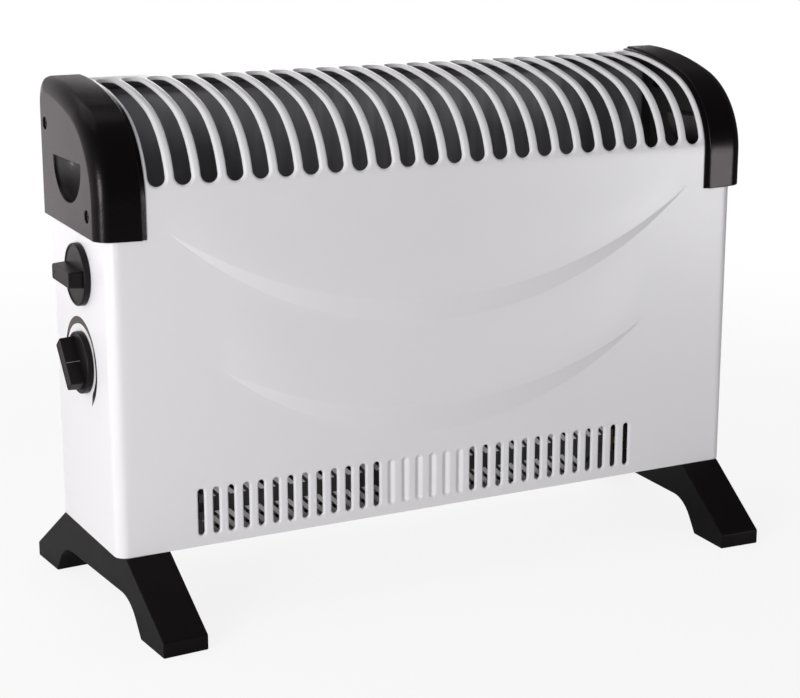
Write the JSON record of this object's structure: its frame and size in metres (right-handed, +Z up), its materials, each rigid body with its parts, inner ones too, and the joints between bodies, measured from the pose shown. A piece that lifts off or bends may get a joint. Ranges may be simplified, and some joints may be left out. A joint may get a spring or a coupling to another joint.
{
  "type": "convector heater",
  "caption": "Free-standing electric convector heater: white steel case with curved slotted top, black end caps with hand recesses, arched feet, selector and thermostat knobs.",
  "frame": {"origin": "floor level, under the middle of the case's width and depth", "axes": "+Z up, front faces -Y, +X to the right seen from the front; the knobs are on the -X end"},
  "size_m": [0.5348, 0.2374, 0.374],
  "materials": {
    "white_paint": "smooth powder coat, semi-gloss",
    "cap_plastic": "fine satin grain",
    "foot_plastic": "fine satin grain",
    "knob_plastic": "satin",
    "zinc_steel": "zinc plated",
    "screw_steel": "plated",
    "shield_steel": "dark grey, satin",
    "mica": "dark mica board",
    "ribbon_alloy": "bright resistance alloy",
    "white_ceramic": "unglazed steatite",
    "brass": "plain",
    "bimetal": "rolled",
    "silver": "polished contact",
    "switch_plastic": "moulded",
    "cutout_body": "phenolic",
    "brown_insulation": "heat-resistant sleeve",
    "red_insulation": "heat-resistant sleeve",
    "blue_insulation": "heat-resistant sleeve",
    "green_insulation": "heat-resistant sleeve"
  },
  "bodies": {
    "case": {"front_panel": "white_paint", "rear_panel": "white_paint", "left_end_cap": "cap_plastic", "right_end_cap": "cap_plastic", "left_foot": "foot_plastic", "right_foot": "foot_plastic", "bottom_plate": "zinc_steel", "partition": "zinc_steel", "left_element_bracket": "zinc_steel", "right_element_bracket": "zinc_steel", "thermostat_frame": "zinc_steel", "cap_screws": "screw_steel", "foot_screws": "screw_steel", "foot_nuts": "screw_steel", "rear_screws": "screw_steel", "selector_screws": "screw_steel", "terminal_screws": "screw_steel", "earth_screw": "screw_steel", "thermostat_nut": "screw_steel", "shield_spacers": "screw_steel", "heat_shield": "shield_steel", "element_carrier": "mica", "upper_ribbon": "ribbon_alloy", "lower_ribbon": "ribbon_alloy", "element_insulators": "white_ceramic", "thermostat_stack": "white_ceramic", "selector_terminals": "brass", "cutout_terminals": "brass", "element_terminals": "brass", "element_link": "brass", "earth_tag": "brass", "contact_blade": "brass", "bimetal_blade": "bimetal", "thermostat_contacts": "silver", "selector_switch": "switch_plastic", "terminal_block": "switch_plastic", "cord_gland": "switch_plastic", "thermal_cutout": "cutout_body", "wire_live": "brown_insulation", "wire_switch": "red_insulation", "wire_thermostat": "red_insulation", "wire_element": "red_insulation", "wire_neutral": "blue_insulation", "wire_earth": "green_insulation"},
    "selector": {"selector_knob": "knob_plastic", "selector_shaft": "screw_steel"},
    "thermostat": {"thermostat_knob": "knob_plastic", "thermostat_spindle": "screw_steel"},
    "thermostat_pin": {"thermostat_pin": "white_ceramic"}
  },
  "joints": [
    {"name": "selector_turn", "type": "hinge", "parent": "case", "child": "selector", "pos_m": [-0.2564, -0.0005, 0.243], "axis": [1, 0, 0], "range_deg": [0, 270]},
    {"name": "thermostat_turn", "type": "hinge", "parent": "case", "child": "thermostat", "pos_m": [-0.2564, 0.0005, 0.18], "axis": [1, 0, 0], "range_deg": [-140, 140]},
    {"name": "thermostat_pin_slide", "type": "slide", "parent": "case", "child": "thermostat_pin", "axis": [1, 0, 0], "range_m": [-0.0005, 0.0005]}
  ],
  "couplings": [
    {"joint": "thermostat_pin_slide", "follows": "thermostat_turn", "m_per_rad": 0.00015915}
  ]
}
